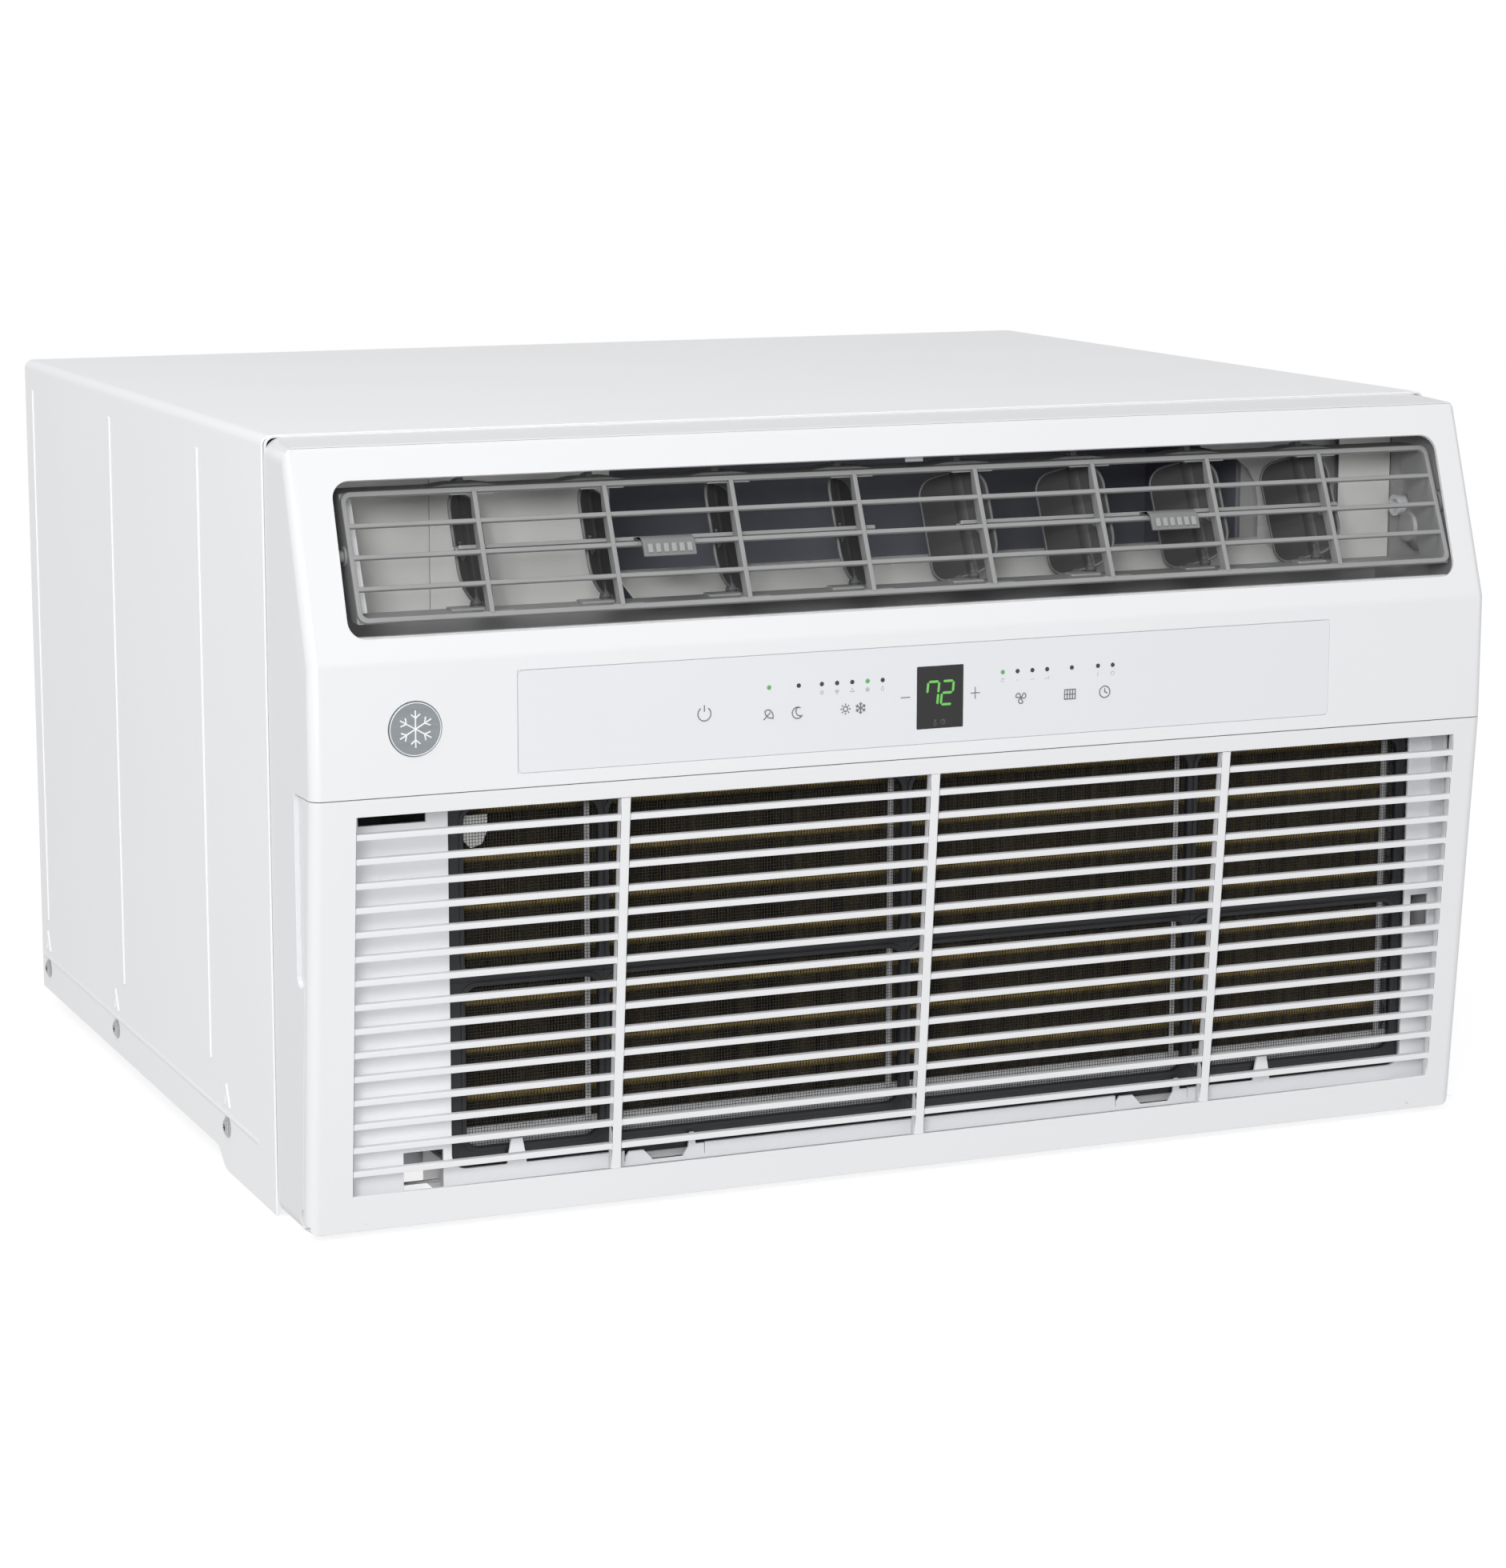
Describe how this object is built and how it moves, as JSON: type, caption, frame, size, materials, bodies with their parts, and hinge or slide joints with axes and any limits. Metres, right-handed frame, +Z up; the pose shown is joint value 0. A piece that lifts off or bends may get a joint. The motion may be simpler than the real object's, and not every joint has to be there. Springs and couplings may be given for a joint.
{
  "type": "window air conditioner",
  "caption": "Room air conditioner in a white steel wall sleeve with a tilting louver, turning vanes, hinged intake grille, sliding filter, press keys and an inner fan shaft.",
  "frame": {"origin": "centre of the bounding box footprint, on the plane the feet stand on", "axes": "+X to the right seen from the front, +Y to the back, +Z up; the front faces -Y"},
  "size_m": [0.6652, 0.573, 0.395],
  "materials": {
    "white_steel": "satin enamel",
    "white_plastic": "semi-gloss",
    "galvanised": "galvanised",
    "screw_steel": "plated",
    "overlay_film": "semi-gloss film",
    "grey_plastic": "fine texture",
    "circuit_board": "solder mask",
    "display": "gloss",
    "led": "clear",
    "badge_metal": "satin",
    "fin_gold": "coated",
    "copper": "drawn copper",
    "fin_aluminium": "mill",
    "black_enamel": "gloss enamel",
    "rubber_black": "matte",
    "scroll_plastic": "moulded",
    "motor_steel": "satin",
    "tray_plastic": "moulded",
    "black_plastic": "moulded",
    "key_plastic": "moulded"
  },
  "bodies": {
    "chassis": {"sleeve_wrapper": "white_steel", "base_pan": "galvanised", "rear_guard": "galvanised", "sleeve_screws": "screw_steel", "front_bezel": "white_plastic", "inner_front_panel": "white_plastic", "grille_hinge_clips": "white_plastic", "control_overlay": "overlay_film", "key_carrier": "grey_plastic", "control_board": "circuit_board", "display_module": "display", "indicator_leds": "led", "badge": "badge_metal", "evaporator_fins": "fin_gold", "evaporator_tubes": "copper", "condenser_fins": "fin_aluminium", "condenser_tubes": "copper", "compressor": "black_enamel", "compressor_grommets": "rubber_black", "compressor_studs": "screw_steel", "suction_line": "copper", "discharge_line": "copper", "capillary_line": "copper", "bulkhead": "galvanised", "blower_scroll": "scroll_plastic", "discharge_plenum": "grey_plastic", "louver_bushes": "white_plastic", "fan_motor": "motor_steel", "motor_bracket": "galvanised", "condenser_shroud": "grey_plastic", "control_box": "galvanised", "run_capacitor": "fin_aluminium", "heater_rack": "galvanised", "drip_tray": "tray_plastic", "cord_gland": "black_plastic"},
    "grille": {"intake_grille": "white_plastic"},
    "filter": {"air_filter": "black_plastic"},
    "louver": {"louver_frame": "grey_plastic"},
    "left_link": {"left_link_bar": "grey_plastic"},
    "right_link": {"right_link_bar": "grey_plastic"},
    "rotor": {"fan_shaft": "screw_steel", "blower_wheel": "black_plastic", "condenser_fan": "black_plastic"},
    "vane1": {"vane_1": "grey_plastic"},
    "vane2": {"vane_2": "grey_plastic"},
    "vane3": {"vane_3": "grey_plastic"},
    "vane4": {"vane_4": "grey_plastic"},
    "vane5": {"vane_5": "grey_plastic"},
    "vane6": {"vane_6": "grey_plastic"},
    "vane7": {"vane_7": "grey_plastic"},
    "vane8": {"vane_8": "grey_plastic"},
    "power_button": {"power_key": "key_plastic"},
    "eco_button": {"eco_key": "key_plastic"},
    "sleep_button": {"sleep_key": "key_plastic"},
    "mode_button": {"mode_key": "key_plastic"},
    "minus_button": {"minus_key": "key_plastic"},
    "plus_button": {"plus_key": "key_plastic"},
    "fan_speed_button": {"fan_speed_key": "key_plastic"},
    "filter_button": {"filter_key": "key_plastic"},
    "timer_button": {"timer_key": "key_plastic"}
  },
  "joints": [
    {"name": "grille_hinge", "type": "hinge", "parent": "chassis", "child": "grille", "pos_m": [0, -0.262, 0.0085], "axis": [1, 0, 0], "range_deg": [0, 60]},
    {"name": "filter_lift", "type": "slide", "parent": "chassis", "child": "filter", "axis": [0, 0, 1], "range_m": [0, 0.008]},
    {"name": "louver_tilt", "type": "hinge", "parent": "chassis", "child": "louver", "pos_m": [0.005, -0.25658, 0.33886], "axis": [1, 0, 0], "range_deg": [-12, 9]},
    {"name": "left_vane_slide", "type": "slide", "parent": "louver", "child": "left_link", "axis": [1, 0, 0], "range_m": [0, 0.0134]},
    {"name": "right_vane_slide", "type": "slide", "parent": "louver", "child": "right_link", "axis": [1, 0, 0], "range_m": [-0.0134, 0]},
    {"name": "fan_spin", "type": "hinge", "parent": "chassis", "child": "rotor", "pos_m": [0.045, 0, 0.17], "axis": [0, 1, 0], "continuous": true},
    {"name": "vane_1_turn", "type": "hinge", "parent": "louver", "child": "vane1", "pos_m": [-0.2337, -0.24294, 0.33261], "axis": [0, 0.4163, 0.9092], "range_deg": [0, 84]},
    {"name": "vane_2_turn", "type": "hinge", "parent": "louver", "child": "vane2", "pos_m": [-0.1655, -0.24294, 0.33261], "axis": [0, 0.4163, 0.9092], "range_deg": [0, 84]},
    {"name": "vane_3_turn", "type": "hinge", "parent": "louver", "child": "vane3", "pos_m": [-0.0973, -0.24294, 0.33261], "axis": [0, 0.4163, 0.9092], "range_deg": [0, 84]},
    {"name": "vane_4_turn", "type": "hinge", "parent": "louver", "child": "vane4", "pos_m": [-0.0291, -0.24294, 0.33261], "axis": [0, 0.4163, 0.9092], "range_deg": [0, 84]},
    {"name": "vane_5_turn", "type": "hinge", "parent": "louver", "child": "vane5", "pos_m": [0.0391, -0.24294, 0.33261], "axis": [0, 0.4163, 0.9092], "range_deg": [-84, 0]},
    {"name": "vane_6_turn", "type": "hinge", "parent": "louver", "child": "vane6", "pos_m": [0.1073, -0.24294, 0.33261], "axis": [0, 0.4163, 0.9092], "range_deg": [-84, 0]},
    {"name": "vane_7_turn", "type": "hinge", "parent": "louver", "child": "vane7", "pos_m": [0.1755, -0.24294, 0.33261], "axis": [0, 0.4163, 0.9092], "range_deg": [-84, 0]},
    {"name": "vane_8_turn", "type": "hinge", "parent": "louver", "child": "vane8", "pos_m": [0.2437, -0.24294, 0.33261], "axis": [0, 0.4163, 0.9092], "range_deg": [-84, 0]},
    {"name": "power_press", "type": "slide", "parent": "chassis", "child": "power_button", "axis": [0, 1, 0], "range_m": [0, 0.0004], "stiffness_N_per_m": 3000},
    {"name": "eco_press", "type": "slide", "parent": "chassis", "child": "eco_button", "axis": [0, 1, 0], "range_m": [0, 0.0004], "stiffness_N_per_m": 3000},
    {"name": "sleep_press", "type": "slide", "parent": "chassis", "child": "sleep_button", "axis": [0, 1, 0], "range_m": [0, 0.0004], "stiffness_N_per_m": 3000},
    {"name": "mode_press", "type": "slide", "parent": "chassis", "child": "mode_button", "axis": [0, 1, 0], "range_m": [0, 0.0004], "stiffness_N_per_m": 3000},
    {"name": "minus_press", "type": "slide", "parent": "chassis", "child": "minus_button", "axis": [0, 1, 0], "range_m": [0, 0.0004], "stiffness_N_per_m": 3000},
    {"name": "plus_press", "type": "slide", "parent": "chassis", "child": "plus_button", "axis": [0, 1, 0], "range_m": [0, 0.0004], "stiffness_N_per_m": 3000},
    {"name": "fan_speed_press", "type": "slide", "parent": "chassis", "child": "fan_speed_button", "axis": [0, 1, 0], "range_m": [0, 0.0004], "stiffness_N_per_m": 3000},
    {"name": "filter_press", "type": "slide", "parent": "chassis", "child": "filter_button", "axis": [0, 1, 0], "range_m": [0, 0.0004], "stiffness_N_per_m": 3000},
    {"name": "timer_press", "type": "slide", "parent": "chassis", "child": "timer_button", "axis": [0, 1, 0], "range_m": [0, 0.0004], "stiffness_N_per_m": 3000}
  ],
  "couplings": [
    {"joint": "vane_1_turn", "follows": "left_vane_slide", "rad_per_m": 109.4},
    {"joint": "vane_2_turn", "follows": "left_vane_slide", "rad_per_m": 109.4},
    {"joint": "vane_3_turn", "follows": "left_vane_slide", "rad_per_m": 109.4},
    {"joint": "vane_4_turn", "follows": "left_vane_slide", "rad_per_m": 109.4},
    {"joint": "vane_5_turn", "follows": "right_vane_slide", "rad_per_m": 109.4},
    {"joint": "vane_6_turn", "follows": "right_vane_slide", "rad_per_m": 109.4},
    {"joint": "vane_7_turn", "follows": "right_vane_slide", "rad_per_m": 109.4},
    {"joint": "vane_8_turn", "follows": "right_vane_slide", "rad_per_m": 109.4}
  ]
}
